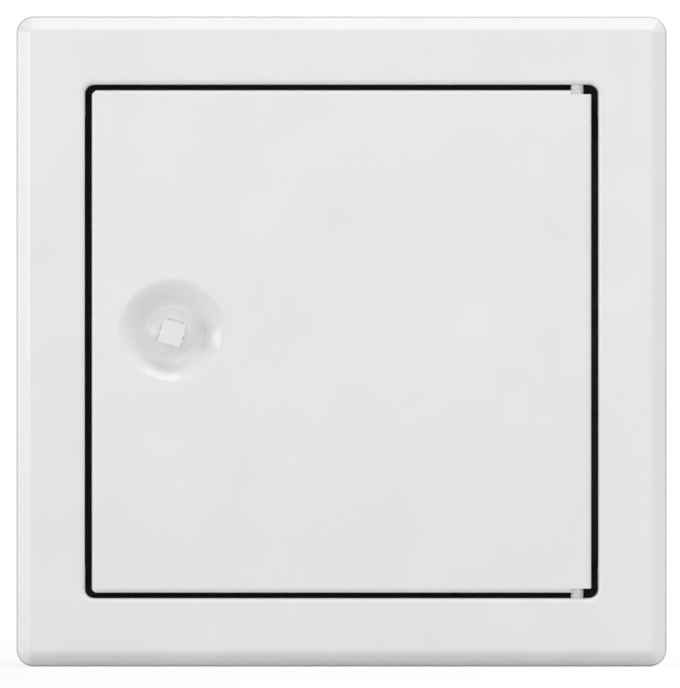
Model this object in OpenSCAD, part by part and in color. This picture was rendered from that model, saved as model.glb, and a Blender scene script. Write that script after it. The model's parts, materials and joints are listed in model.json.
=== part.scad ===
// Square access panel in sheet steel: a pressed frame with a folded wall sleeve behind it,
// a folded door on two corner pins, and a square-key lock in a pressed dish.
// Millimetres. The panel stands upright with its front towards -Y and +Z up.
// The origin is the centre of the opening on the wall's surface.

/* [Frame] */
// Clear size of the square opening between the lips
opening_size = 150; // [120:1:240]
// Width of the flange from the lip to its outer edge
flange_width = 20; // [16:0.5:35]
// Distance of the flange's face from the wall
face_height = 5; // [4.5:0.1:7]
// Thickness of the frame's sheet
frame_sheet = 1; // [0.7:0.05:1.2]
// Width of the bevel round the flange
bevel_width = 4; // [3:0.1:5]
// Straight land behind the bevel
rim_land = 1; // [0.6:0.1:1.4]
// Corner radius of the flat face inside the bevel
bevel_corner = 1; // [1:0.1:3]
// Radius of the bend from the face to the bevel
bevel_bend = 2.6; // [1:0.1:4]
// Radius in the corners of the opening
opening_corner = 2.7; // [2:0.1:5]
// Inside radius of the folds
fold_inside = 0.5; // [0.3:0.05:0.8]

/* [Wall sleeve] */
// Depth of the sleeve behind the wall's surface
sleeve_depth = 35; // [30:1:80]
// Distance of the sleeve's front edge behind the wall's surface
sleeve_start = 2; // [1.5:0.1:4]
// Thickness of the sleeve's sheet
sleeve_sheet = 1; // [0.7:0.05:1.5]
// Width of the open seam in the sleeve
seam_width = 0.6; // [0.3:0.1:2]
// Diameter of the fixing holes
screw_hole = 5; // [3:0.1:7]
// Distance between two fixing holes
screw_spacing = 90; // [40:1:100]
// Distance of the fixing holes from the sleeve's rear edge
screw_edge = 9; // [6:0.5:12]

/* [Stop and seal] */
// How far a stop rail reaches into the opening
stop_width = 9; // [6:0.5:14]
// Length of a stop rail's leg along the sleeve
stop_leg = 9; // [5:0.5:12]
// Thickness of the stop rails
stop_sheet = 1; // [0.7:0.05:1.5]
// Thickness of the foam seal
seal_thickness = 3; // [2:0.1:5]
// Width of the foam seal
seal_width = 8; // [5:0.5:9]
// Space between the seal and the closed door
seal_gap = 0.3; // [0.2:0.05:0.6]
// Space between the seal and the lip
seal_edge = 0.05; // [0.03:0.01:0.4]

/* [Door] */
// Gap between the door's sides and the lip
side_gap = 2.05; // [1.6:0.05:2.5]
// Gap above and below the door
end_gap = 1.6; // [1.3:0.05:2.5]
// Thickness of the door's sheet
door_sheet = 1; // [0.7:0.05:1.2]
// Depth of the folded edges
door_fold = 10; // [9:0.5:14]
// Depth of the folded edge on the hinge side
hinge_fold = 6; // [5:0.5:8]
// Size of the relief in the upper corner of the lock side
corner_relief = 1.2; // [0.8:0.1:2]

/* [Hinge] */
// Diameter of a hinge pin
pin_d = 3.7; // [3:0.1:4]
// Distance of the pins from the door's edge
pin_inset = 4.1; // [3.6:0.1:4.5]
// Distance of the pins behind the door's face
pin_setback = 4; // [3.8:0.1:4.6]
// Radial running clearance of a pin
pin_clearance = 0.05; // [0.02:0.01:0.1]
// Width of a pin's head beyond its shank
pin_head_rim = 0.5; // [0.2:0.05:0.6]
// Height of a pin's head
pin_head_h = 1.2; // [0.8:0.1:2]
// Length of a pin beyond its bracket
pin_tail = 0.8; // [0.4:0.1:2]
// Thickness of the hinge brackets
bracket_sheet = 1.5; // [1:0.1:2]
// Reach of a hinge bracket along the door's edge
bracket_reach = 10; // [7:0.5:20]
// Length of a hinge bracket's leg
bracket_leg = 13; // [8:0.5:20]
// Width of a hinge bracket behind the pin
bracket_back = 4; // [3:0.1:6]
// Length of the notch in the door's face at a pin
notch_length = 6.1; // [5.6:0.1:7]
// Height of the notch in the door's face at a pin
notch_height = 1.2; // [1:0.1:1.4]

/* [Lock] */
// Distance of the lock from the door's edge
lock_inset = 23.4; // [22:0.1:30]
// Height of the lock above the middle
lock_raise = 2.5; // [-20:0.5:20]
// Diameter of the dish where it leaves the face
dish_d = 32.2; // [28:0.1:36]
// Depth of the dish
dish_depth = 4.5; // [4:0.25:6]
// Space between the lock bush's head and the foot of the dish's wall
dish_floor_room = 0.05; // [0.03:0.01:0.8]
// Radius where the dish's wall leaves the face
dish_lip_radius = 4; // [3:0.1:6]
// Radius where the dish's wall meets its floor
dish_floor_radius = 3; // [1.2:0.1:4]
// Width across flats of the square
square_size = 7.4; // [6:0.1:8]
// Distance of the square's end behind the face
square_sunk = 0.3; // [0:0.1:1.5]
// Turn of the square, clockwise from the front
square_turn = 17; // [0:1:45]
// Diameter of the lock bush's head
bush_head_d = 16; // [14:0.5:18]
// Height of the lock bush's head
bush_head_h = 1.6; // [1.2:0.1:2]
// Thickness of the head's thin rim
bush_rim = 0.1; // [0.1:0.05:0.4]
// Width of the head's thin rim
bush_rim_width = 1.04; // [0.6:0.02:1.4]
// Width of the head's flat crown round the spindle
bush_crown = 0.85; // [0.6:0.05:1.2]
// Diameter of the lock bush's threaded body
bush_d = 12; // [11:0.5:13]
// Diameter of the spindle's journal
journal_d = 7; // [6.8:0.1:7.4]
// Radial running clearance of the journal
journal_clearance = 0.05; // [0.02:0.01:0.1]
// Clearance of parts that are fixed together
fixed_clearance = 0.03; // [0.02:0.01:0.1]
// Width across flats of the ring nut
ring_nut_af = 17; // [15:0.5:19]
// Height of the ring nut
ring_nut_h = 3.5; // [2.5:0.1:5]
// Length of the tongue from the spindle's axis
tongue_length = 22; // [20.5:0.1:23]
// Width of the tongue
tongue_width = 12; // [9:0.5:14]
// Radius of the tongue's round end at the spindle
tongue_hub = 9; // [8:0.1:10]
// Thickness of the tongue
tongue_sheet = 2.5; // [2:0.1:3]
// Space between the tongue and the stop rail
tongue_gap = 0.4; // [0.3:0.05:1]
// Space between the tongue and the lock bush
bush_gap = 0.3; // [0.2:0.05:0.5]
// Angle that the tongue turns
tongue_swing = 90; // [80:1:95]
// Angle that the stop lug takes up
lug_angle = 30; // [20:1:40]
// Width across flats of the spindle's rear square
rear_square = 4.9; // [4.5:0.1:4.9]
// Diameter of the spindle's threaded end
stud_d = 4; // [3:0.1:4.2]
// Length of the thread beyond the nut
stud_tail = 1.2; // [0.5:0.1:4]
// Diameter of the flat washer
washer_d = 9; // [8:0.1:12]
// Thickness of the flat washer
washer_t = 0.8; // [0.5:0.1:1.5]
// Diameter of the spring washer
spring_d = 7; // [6:0.1:8]
// Thickness of the spring washer
spring_t = 1; // [0.6:0.1:1.5]
// Width across flats of the nut
nut_af = 7; // [6:0.1:8]
// Height of the nut
nut_h = 3.2; // [2:0.1:5]

/* [Wall anchors] */
// Thickness of an anchor strap
anchor_sheet = 1.25; // [1:0.05:2]
// Width of an anchor strap
anchor_width = 18; // [14:0.5:30]
// Distance of an anchor's foot behind the wall's surface
anchor_set = 12.5; // [11:0.5:16]
// Distance between two anchors on one side
anchor_spacing = 90; // [60:1:100]
// Distance of an anchor's end from the edge of the flange
anchor_clear = 1; // [0.5:0.1:3]
// Distance of an anchor's base from the sleeve's rear edge
anchor_margin = 2; // [1:0.5:3]
// Depth of the fishtail in an anchor's foot
fishtail = 5; // [2:0.5:7]
// Diameter of the nail hole in an anchor's foot
nail_hole = 3.5; // [2:0.1:4]
// Diameter of a rivet
rivet_d = 3.2; // [2.4:0.1:4]
// Diameter of a rivet's head
rivet_head_d = 5.6; // [5:0.1:6.5]
// Height of a rivet's head
rivet_head_h = 1.3; // [0.8:0.1:2]
// Distance between two rivets
rivet_spacing = 9; // [7:0.5:14]

/* [Hidden] */
$fn = 64;

coat_colour = "whitesmoke";
zinc_colour = "silver";
foam_colour = "dimgray";

// Steps of a rounded corner in a section
bend_steps = 8;
// Flat stretch that a folded section shares with the sheet beside it
lap = 1;
// Cut that reaches past a face
past = 1;

// Planes and half sizes. Before it is stood upright, the panel lies with its face towards +Z
// and the wall's surface at Z 0.
half_open = opening_size / 2;
half_frame = half_open + flange_width;
rim_radius = bevel_width + bevel_corner;
rim_axis = half_frame - rim_radius;
lip_bend = fold_inside + frame_sheet;
lip_axis = half_open - opening_corner;
door_half_w = half_open - side_gap;
door_half_h = half_open - end_gap;
door_bend = fold_inside + door_sheet;
door_back = face_height - door_fold;
seal_front = door_back - seal_gap;
seal_outer = half_open - seal_edge;
stop_front = seal_front - seal_thickness;
stop_back = stop_front - stop_sheet;
sleeve_inside = half_open + frame_sheet;
sleeve_outside = sleeve_inside + sleeve_sheet;
sleeve_corner = opening_corner + frame_sheet;

// Hinge axis
pin_r = pin_d / 2;
hinge_x = door_half_w - pin_inset;
hinge_z = face_height - pin_setback;
fold_inner_w = door_half_w - door_sheet;
fold_inner_h = door_half_h - door_sheet;

// Lock, from the front to the back
lock_x = -door_half_w + lock_inset;
dish_floor_z = face_height - dish_depth;
dish_edge = dish_d / 2 + lap;
// Wall of the dish: the share of its two radii that there is room for, the straight stretch that joins
// the lip's arc to the floor's arc, its slope, and the two corners that the arcs round off
dish_floor_d = bush_head_d + 2 * dish_floor_room;
dish_reach = (dish_d - dish_floor_d) / 2;
dish_room = 0.95 * (pow(dish_reach, 2) + pow(dish_depth, 2)) / (2 * dish_depth);
dish_fit = min(1, dish_room / (dish_lip_radius + dish_floor_radius));
lip_arc = dish_fit * dish_lip_radius;
floor_arc = dish_fit * dish_floor_radius;
dish_arcs = lip_arc + floor_arc;
dish_wall = sqrt(pow(dish_reach, 2) + pow(dish_depth - dish_arcs, 2) - pow(dish_arcs, 2));
dish_slope = atan2(dish_depth - dish_arcs, dish_reach) + atan2(dish_arcs, dish_wall);
dish_lip_corner = dish_d / 2 - lip_arc * tan(dish_slope / 2);
dish_floor_corner = dish_floor_d / 2 + floor_arc * tan(dish_slope / 2);
shoulder_z = dish_floor_z + bush_head_h;
tongue_front = stop_back - tongue_gap;
tongue_rear = tongue_front - tongue_sheet;
bush_rear = tongue_front + bush_gap;
bush_r = bush_d / 2;
bore_r = journal_d / 2 + journal_clearance;
// Stop lug: wall inside it, setback from the bush's face, room round it in the tongue's slot,
// distance from the tongue's rear face, and play at both stops in degrees
lug_wall = 0.85;
lug_setback = 0.1;
lug_room = 0.25;
lug_short = 0.5;
lug_play = 3;
lug_inner = bore_r + lug_wall;
lug_outer = bush_r - lug_setback;
lug_reach = tongue_sheet - lug_short;
lug_place = 90 - tongue_swing / 2;
washer_rear = tongue_rear - washer_t;
spring_rear = washer_rear - spring_t;
nut_rear = spring_rear - nut_h;

// Unit vector
function unit(v) = v / norm(v);

// Points of a round corner at b between the edges to a and to c
function round_corner(a, b, c, r) =
    let (
        to_a = unit(a - b),
        to_c = unit(c - b),
        half = acos(to_a * to_c) / 2,
        centre = b + unit(to_a + to_c) * r / sin(half),
        from = b + to_a * r / tan(half) - centre,
        to = b + to_c * r / tan(half) - centre,
        start = atan2(from[1], from[0]),
        turn = atan2(from[0] * to[1] - from[1] * to[0], from * to)
    )
    [for (i = [0 : bend_steps]) centre + r * [cos(start + turn * i / bend_steps), sin(start + turn * i / bend_steps)]];

// Outline whose corners [x, y, r] are rounded to r, or sharp at r 0
function outline(corners) =
    let (n = len(corners), p = [for (c = corners) [c[0], c[1]]])
    [for (i = [0 : n - 1])
        each corners[i][2] > 0
            ? round_corner(p[(i + n - 1) % n], p[i], p[(i + 1) % n], corners[i][2])
            : [p[i]]];

// Stands the panel upright
module upright() {
    rotate([90, 0, 0]) children();
}

// Places a piece at the lock's axis
module at_lock() {
    upright() translate([lock_x, lock_raise, 0]) children();
}

// Square with round corners
module rounded_square(half, r) {
    straight = half - r;
    square([2 * half, 2 * straight], center = true);
    square([2 * straight, 2 * half], center = true);
    for (x = [-straight, straight], y = [-straight, straight])
        translate([x, y]) circle(r);
}

// Section drawn outwards from x, run along one side of the square
module side_strip(x, length) {
    translate([x, 0, 0]) rotate([90, 0, 0]) linear_extrude(length, center = true) children();
}

// Section run round a square, with its corners turned about axes at the given distance
module swept_ring(axis) {
    for (quarter = [0 : 3])
        rotate([0, 0, 90 * quarter]) {
            side_strip(axis, 2 * axis) children();
            translate([axis, axis, 0]) rotate_extrude(angle = 90) children();
        }
}

// Section of the bevelled rim
module rim_section() {
    slope = atan2(face_height - rim_land, bevel_width);
    inner_bevel = max(0.05, bevel_corner - frame_sheet * tan(slope / 2));
    inner_land = rim_land - frame_sheet * tan((90 - slope) / 2);
    bend = min(bevel_bend, 0.95 * bevel_corner / tan(slope / 2));
    polygon(outline([
        [0, face_height, 0],
        [bevel_corner, face_height, bend],
        [rim_radius, rim_land, 0.9 * rim_land],
        [rim_radius, 0, 0],
        [rim_radius - frame_sheet, 0, 0],
        [rim_radius - frame_sheet, inner_land, 0],
        [inner_bevel, face_height - frame_sheet, 0],
        [0, face_height - frame_sheet, 0]
    ]));
}

// Section of a right-angled fold whose outer face is at x
module fold_section(x, depth, sheet) {
    bend = fold_inside + sheet;
    polygon(outline([
        [x - bend - lap, face_height, 0],
        [x, face_height, bend],
        [x, face_height - depth, 0],
        [x - sheet, face_height - depth, 0],
        [x - sheet, face_height - sheet, fold_inside],
        [x - bend - lap, face_height - sheet, 0]
    ]));
}

// Places a piece at both hinges, the lower one mirrored
module both_hinges() {
    for (lower = [0, 1]) mirror([0, lower, 0]) children();
}

// Bore on the hinge axis
module hinge_bore(r) {
    translate([hinge_x, half_open, hinge_z])
        rotate([90, 0, 0]) cylinder(r = r, h = 4 * pin_inset, center = true);
}

// Pressed frame: bevelled rim, flat flange and drawn lip
module front_frame() {
    lip_edge = opening_corner + lip_bend + lap;
    color(coat_colour) upright() difference() {
        union() {
            swept_ring(rim_axis) rim_section();
            translate([0, 0, face_height - frame_sheet]) linear_extrude(frame_sheet) difference() {
                square(2 * rim_axis, center = true);
                rounded_square(half_open + lip_bend + lap, lip_edge);
            }
            swept_ring(lip_axis) mirror([1, 0]) translate([-2 * opening_corner, 0])
                fold_section(opening_corner, face_height - stop_front, frame_sheet);
        }
        both_hinges() hinge_bore(pin_r + fixed_clearance);
    }
}

// Folded sleeve that lines the hole in the wall
module wall_sleeve() {
    color(coat_colour) upright() difference() {
        translate([0, 0, -sleeve_depth]) linear_extrude(sleeve_depth - sleeve_start) difference() {
            rounded_square(sleeve_outside, sleeve_corner + sleeve_sheet);
            rounded_square(sleeve_inside, sleeve_corner);
            translate([0, -sleeve_outside]) square([seam_width, 4 * sleeve_sheet], center = true);
        }
        for (x = [-screw_spacing / 2, screw_spacing / 2])
            translate([x, 0, -sleeve_depth + screw_edge])
                rotate([90, 0, 0]) cylinder(d = screw_hole, h = 2 * sleeve_outside + 2 * past, center = true);
        anchor_places() rivet_places() rotate([0, 90, 0])
            cylinder(d = rivet_d + 2 * fixed_clearance, h = 4 * sleeve_sheet, center = true);
    }
}

// Angle that the door closes against, along one side of the opening
module stop_rail(side, length) {
    edge = half_open - stop_width;
    color(coat_colour) upright() rotate([0, 0, side]) side_strip(0, length)
        polygon(outline([
            [edge, stop_front, 0],
            [sleeve_inside, stop_front, fold_inside + stop_sheet],
            [sleeve_inside, stop_front - stop_leg, 0],
            [sleeve_inside - stop_sheet, stop_front - stop_leg, 0],
            [sleeve_inside - stop_sheet, stop_back, fold_inside],
            [edge, stop_back, 0]
        ]));
}

// Foam strip on the face of one stop rail, cut round where it meets the lip's corners
module door_seal(side, length) {
    soft_edge = 0.2 * seal_thickness;
    color(foam_colour) upright() intersection() {
        rotate([0, 0, side]) side_strip(0, length) polygon(outline([
            [seal_outer - seal_width, stop_front, 0],
            [seal_outer, stop_front, 0],
            [seal_outer, seal_front, soft_edge],
            [seal_outer - seal_width, seal_front, soft_edge]
        ]));
        translate([0, 0, stop_front]) linear_extrude(seal_thickness)
            rounded_square(seal_outer, opening_corner - seal_edge);
    }
}

// Rails and seals across the top and bottom run into the corners, the others fit between them
long_rail = 2 * lip_axis;
short_rail = 2 * (half_open - stop_width);
long_seal = 2 * seal_outer;
short_seal = 2 * (seal_outer - seal_width);

// Places a piece at the four anchors, on the sleeve's outer faces
module anchor_places() {
    for (side = [0, 180], y = [-anchor_spacing / 2, anchor_spacing / 2])
        rotate([0, 0, side]) translate([sleeve_outside, y, 0]) children();
}

// Places a piece at the two rivets of an anchor
module rivet_places() {
    base_end = -sleeve_depth + anchor_margin;
    base_front = -anchor_set - anchor_sheet - fold_inside;
    for (y = [-rivet_spacing / 2, rivet_spacing / 2])
        translate([0, y, (base_end + base_front) / 2]) children();
}

// Bent strap with a fishtail foot that is set into the wall
module wall_anchor(side, y) {
    reach = flange_width - frame_sheet - sleeve_sheet - anchor_clear;
    base_end = -sleeve_depth + anchor_margin;
    color(zinc_colour) upright() rotate([0, 0, side]) translate([sleeve_outside, y, 0]) difference() {
        side_strip(0, anchor_width) polygon(outline([
            [0, base_end, 0],
            [0, -anchor_set, fold_inside + anchor_sheet],
            [reach, -anchor_set, 0],
            [reach, -anchor_set - anchor_sheet, 0],
            [anchor_sheet, -anchor_set - anchor_sheet, fold_inside],
            [anchor_sheet, base_end, 0]
        ]));
        translate([reach, 0, -anchor_set - 2 * anchor_sheet]) linear_extrude(4 * anchor_sheet)
            polygon([[-fishtail, 0], [past, -anchor_width / 3], [past, anchor_width / 3]]);
        translate([(reach - fishtail) / 2 + anchor_sheet, 0, -anchor_set])
            cylinder(d = nail_hole, h = 4 * anchor_sheet, center = true);
        rivet_places() rotate([0, 90, 0])
            cylinder(d = rivet_d + 2 * fixed_clearance, h = 4 * anchor_sheet, center = true);
    }
}

// Dome-headed rivet along +X through the sleeve and an anchor
module rivet() {
    head_r = rivet_head_d / 2;
    grip = anchor_sheet + sleeve_sheet;
    translate([-sleeve_sheet, 0, 0]) rotate([0, 90, 0]) rotate_extrude() polygon(outline([
        [0, -rivet_head_h / 2, 0],
        [head_r, -rivet_head_h / 2, 0],
        [head_r, 0, 0],
        [rivet_d / 2, 0, 0],
        [rivet_d / 2, grip, 0],
        [head_r, grip, 0],
        [head_r, grip + rivet_head_h, 0.9 * rivet_head_h],
        [0, grip + rivet_head_h, 0]
    ]));
}

// All rivets of the four anchors
module anchor_rivets() {
    color(zinc_colour) upright() anchor_places() rivet_places() rivet();
}

// Headed pin that carries the door, put in from outside the lip
module hinge_pin(lower) {
    seat = half_open + frame_sheet;
    end = fold_inner_h - bracket_sheet - pin_tail;
    head_r = pin_r + pin_head_rim;
    soft_end = 0.3 * pin_r;
    color(coat_colour) upright() mirror([0, lower, 0]) translate([hinge_x, 0, hinge_z])
        rotate([-90, 0, 0]) rotate_extrude() polygon(outline([
            [0, end, 0],
            [pin_r, end, soft_end],
            [pin_r, seat, 0],
            [head_r, seat, 0],
            [head_r, seat + pin_head_h, 0.5 * pin_head_h],
            [0, seat + pin_head_h, 0]
        ]));
}

// Sheet of the pressed dish, with the hole for the lock bush
module dish() {
    shift = door_sheet * tan(dish_slope / 2);
    hole_r = bush_r + fixed_clearance;
    rotate_extrude() polygon(outline([
        [dish_edge, face_height, 0],
        [dish_lip_corner, face_height, lip_arc],
        [dish_floor_corner, dish_floor_z, floor_arc],
        [hole_r, dish_floor_z, 0],
        [hole_r, dish_floor_z - door_sheet, 0],
        [dish_floor_corner + shift, dish_floor_z - door_sheet, floor_arc + door_sheet],
        [dish_lip_corner + shift, face_height - door_sheet, lip_arc - door_sheet],
        [dish_edge, face_height - door_sheet, 0]
    ]));
}

// Folded door with its dish, hinge holes, and notches at the pins that are open at the corner
module door_leaf() {
    edge = door_bend + lap / 2;
    halves = [door_half_w, door_half_h, door_half_w, door_half_h];
    depths = [hinge_fold, door_fold, door_fold, door_fold];
    color(coat_colour) upright() difference() {
        union() {
            translate([0, 0, face_height - door_sheet]) linear_extrude(door_sheet) difference() {
                square([2 * (door_half_w - edge), 2 * (door_half_h - edge)], center = true);
                translate([lock_x, lock_raise]) circle(dish_edge - lap / 2);
            }
            for (side = [0 : 3])
                rotate([0, 0, 90 * side]) {
                    across = halves[side];
                    along = halves[(side + 1) % 4] - door_bend;
                    side_strip(0, 2 * along) fold_section(across, depths[side], door_sheet);
                    translate([across - door_bend, along, 0]) rotate_extrude(angle = 90) intersection() {
                        fold_section(door_bend, 2 * door_bend, door_sheet);
                        translate([0, face_height - 2 * door_bend]) square(2 * door_bend);
                    }
                }
            translate([lock_x, lock_raise, 0]) dish();
        }
        both_hinges() {
            hinge_bore(pin_r + 3 * pin_clearance);
            translate([door_half_w - notch_length, door_half_h - notch_height, face_height - door_bend])
                cube([notch_length + past, notch_height + past, door_bend + past]);
            translate([hinge_x + pin_r / 2, door_half_h - notch_height, door_back - past])
                cube([pin_inset + past, notch_height + past, door_fold + 2 * past]);
            translate([0, door_half_h + past, 0]) rotate([90, 0, 0]) linear_extrude(3 * door_bend)
                polygon([
                    [hinge_x + pin_inset / 4, door_back],
                    [hinge_x + pin_inset / 4, door_back - past],
                    [door_half_w + past, door_back - past],
                    [door_half_w + past, face_height - hinge_fold],
                    [door_half_w, face_height - hinge_fold]
                ]);
        }
        translate([-door_half_w, door_half_h, face_height]) rotate([0, 0, 45])
            cube([corner_relief * sqrt(2), corner_relief * sqrt(2), 4 * door_bend], center = true);
    }
}

// Angle inside the door's corner that runs on a hinge pin
module hinge_bracket(lower) {
    front = face_height - door_sheet - fold_inside - fixed_clearance;
    back = hinge_z - bracket_back;
    color(zinc_colour) upright() mirror([0, lower, 0]) difference() {
        translate([0, 0, back]) linear_extrude(front - back) polygon(outline([
            [hinge_x - bracket_reach, fold_inner_h, 0],
            [fold_inner_w, fold_inner_h, fold_inside + bracket_sheet],
            [fold_inner_w, fold_inner_h - bracket_leg, 0],
            [fold_inner_w - bracket_sheet, fold_inner_h - bracket_leg, 0],
            [fold_inner_w - bracket_sheet, fold_inner_h - bracket_sheet, fold_inside],
            [hinge_x - bracket_reach, fold_inner_h - bracket_sheet, 0]
        ]));
        hinge_bore(pin_r + pin_clearance);
    }
}

// Ring sector between two radii
module sector(inner, outer, start, angle, bottom, height) {
    rotate([0, 0, start]) rotate_extrude(angle = angle)
        translate([inner, bottom]) square([outer - inner, height]);
}

// Bush in the dish's floor that the spindle turns in: a dome that runs out into a thin rim,
// and at the rear the lug that stops the tongue
module lock_bush() {
    head_r = bush_head_d / 2;
    rim_z = dish_floor_z + bush_rim;
    crown_r = bore_r + bush_crown;
    foot_r = head_r - bush_rim_width;
    dome_slope = atan2(shoulder_z - rim_z, foot_r - crown_r);
    dome_room = 0.9 * min(bush_crown, bush_rim_width) / tan(dome_slope / 2);
    dome_bend = min(1.6 * bush_head_h, dome_room);
    color(coat_colour) at_lock() {
        rotate_extrude() polygon(outline([
            [bore_r, shoulder_z, 0],
            [crown_r, shoulder_z, dome_bend],
            [foot_r, rim_z, dome_bend],
            [head_r, rim_z, 0],
            [head_r, dish_floor_z, 0],
            [bush_r, dish_floor_z, 0],
            [bush_r, bush_rear, 0],
            [bore_r, bush_rear, 0]
        ]));
        sector(
            lug_inner, lug_outer, lug_place - lug_angle / 2, lug_angle,
            tongue_front - lug_reach, bush_rear - tongue_front + lug_reach + lug_room
        );
    }
}

// Hexagon nut that clamps the bush behind the dish
module ring_nut() {
    top = dish_floor_z - door_sheet;
    color(zinc_colour) at_lock() translate([0, 0, top - ring_nut_h]) linear_extrude(ring_nut_h) difference() {
        circle(d = ring_nut_af / cos(30), $fn = 6);
        circle(bush_r + fixed_clearance);
    }
}

// Spindle: square for the key, round journal, rear square and threaded end
module lock_spindle() {
    square_front = face_height - square_sunk;
    shoulder = shoulder_z + fixed_clearance;
    corner_r = square_size / sqrt(2);
    end_r = 0.68 * square_size;
    color(coat_colour) at_lock() rotate([0, 0, -square_turn]) {
        intersection() {
            translate([0, 0, shoulder]) linear_extrude(square_front - shoulder)
                square(square_size, center = true);
            rotate_extrude() polygon([
                [0, shoulder],
                [corner_r + past, shoulder],
                [corner_r + past, square_front - corner_r + end_r - past],
                [end_r, square_front],
                [0, square_front]
            ]);
        }
        translate([0, 0, tongue_front])
            cylinder(d = journal_d, h = shoulder - tongue_front);
        translate([0, 0, tongue_rear]) linear_extrude(tongue_sheet) square(rear_square, center = true);
        translate([0, 0, nut_rear - stud_tail])
            cylinder(d = stud_d, h = tongue_rear - nut_rear + stud_tail);
    }
}

// Flat tongue that turns behind the stop rail, with the slot for the stop lug
module lock_tongue() {
    slot_start = lug_place - lug_angle / 2 - lug_play;
    slot_angle = tongue_swing + lug_angle + 2 * lug_play;
    tip_r = tongue_width / 3;
    color(zinc_colour) at_lock() rotate([0, 0, -square_turn]) difference() {
        translate([0, 0, tongue_rear]) linear_extrude(tongue_sheet) difference() {
            union() {
                circle(tongue_hub);
                polygon(outline([
                    [-tongue_width / 2, 0, 0],
                    [-tongue_width / 2, -tongue_length, tip_r],
                    [tongue_width / 2, -tongue_length, tip_r],
                    [tongue_width / 2, 0, 0]
                ]));
            }
            square(rear_square + 2 * fixed_clearance, center = true);
        }
        sector(
            lug_inner - lug_room, lug_outer + lug_room, slot_start, slot_angle,
            tongue_rear - past, tongue_sheet + 2 * past
        );
    }
}

// Flat washer behind the tongue
module flat_washer() {
    color(zinc_colour) at_lock() translate([0, 0, washer_rear]) linear_extrude(washer_t) difference() {
        circle(d = washer_d);
        circle(d = stud_d + 2 * fixed_clearance);
    }
}

// Split spring washer under the nut
module spring_washer() {
    split = 12;
    color(zinc_colour) at_lock()
        sector(stud_d / 2 + fixed_clearance, spring_d / 2, split / 2, 360 - split, spring_rear, spring_t);
}

// Nut that holds the tongue on the spindle
module lock_nut() {
    color(zinc_colour) at_lock() translate([0, 0, nut_rear]) linear_extrude(nut_h) difference() {
        circle(d = nut_af / cos(30), $fn = 6);
        circle(d = stud_d + 2 * fixed_clearance);
    }
}

front_frame();
wall_sleeve();
stop_rail(90, long_rail);  // stop_rail_top
stop_rail(270, long_rail);  // stop_rail_bottom
stop_rail(180, short_rail);  // stop_rail_lock_side
stop_rail(0, short_rail);  // stop_rail_hinge_side
door_seal(90, long_seal);  // door_seal_top
door_seal(270, long_seal);  // door_seal_bottom
door_seal(180, short_seal);  // door_seal_lock_side
door_seal(0, short_seal);  // door_seal_hinge_side
wall_anchor(180, -anchor_spacing / 2);  // wall_anchor_upper_left
wall_anchor(180, anchor_spacing / 2);  // wall_anchor_lower_left
wall_anchor(0, anchor_spacing / 2);  // wall_anchor_upper_right
wall_anchor(0, -anchor_spacing / 2);  // wall_anchor_lower_right
anchor_rivets();
hinge_pin(0);  // hinge_pin_upper
hinge_pin(1);  // hinge_pin_lower
door_leaf();
hinge_bracket(0);  // hinge_bracket_upper
hinge_bracket(1);  // hinge_bracket_lower
lock_bush();
ring_nut();
lock_spindle();
lock_tongue();
flat_washer();
spring_washer();
lock_nut();
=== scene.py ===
"""Looks of a square sheet-steel access panel, laid out as an add-on.

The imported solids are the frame. Each operator finishes one piece or one group of like pieces: it rounds the
sheet's cut edges, adds the small things that the solids leave out and gives the piece its coat.
"""

import json
import math

import bmesh
import bpy
from bpy.props import FloatProperty, FloatVectorProperty, IntProperty, PointerProperty
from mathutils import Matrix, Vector

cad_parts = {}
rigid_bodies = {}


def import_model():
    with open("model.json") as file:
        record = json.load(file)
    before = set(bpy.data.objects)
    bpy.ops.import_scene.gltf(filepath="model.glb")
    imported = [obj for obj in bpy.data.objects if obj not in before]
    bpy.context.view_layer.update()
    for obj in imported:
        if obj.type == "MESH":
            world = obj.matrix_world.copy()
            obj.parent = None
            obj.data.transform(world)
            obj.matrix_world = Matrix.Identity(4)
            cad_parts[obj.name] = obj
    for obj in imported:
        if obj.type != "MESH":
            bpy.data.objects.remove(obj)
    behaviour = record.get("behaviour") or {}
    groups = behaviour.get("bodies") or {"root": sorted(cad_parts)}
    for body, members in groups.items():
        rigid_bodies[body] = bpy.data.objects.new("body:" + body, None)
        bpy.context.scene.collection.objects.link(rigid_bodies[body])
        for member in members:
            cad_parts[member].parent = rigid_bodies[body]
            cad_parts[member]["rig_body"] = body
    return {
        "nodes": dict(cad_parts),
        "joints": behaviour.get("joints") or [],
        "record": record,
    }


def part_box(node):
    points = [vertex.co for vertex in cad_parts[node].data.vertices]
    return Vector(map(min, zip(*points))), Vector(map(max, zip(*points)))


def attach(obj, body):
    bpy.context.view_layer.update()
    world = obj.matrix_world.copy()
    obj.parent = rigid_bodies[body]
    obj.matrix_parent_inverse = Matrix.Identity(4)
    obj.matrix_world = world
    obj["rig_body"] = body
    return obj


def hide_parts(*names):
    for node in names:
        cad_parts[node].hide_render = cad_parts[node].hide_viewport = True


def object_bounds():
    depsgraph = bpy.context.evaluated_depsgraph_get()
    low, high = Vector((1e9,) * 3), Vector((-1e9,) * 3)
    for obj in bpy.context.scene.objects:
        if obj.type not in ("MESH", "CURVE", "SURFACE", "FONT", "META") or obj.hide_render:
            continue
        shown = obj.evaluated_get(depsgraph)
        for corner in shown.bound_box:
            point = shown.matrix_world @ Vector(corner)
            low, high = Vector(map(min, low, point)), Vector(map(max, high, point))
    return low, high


for leftover in list(bpy.data.objects):
    bpy.data.objects.remove(leftover)

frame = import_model()
CAD_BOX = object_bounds()
NODE_SLOT = {part["node"]: part["material_slot"] for part in frame["record"]["subparts"]}
JOINT = {joint["name"]: joint for joint in frame["joints"]}

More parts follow.
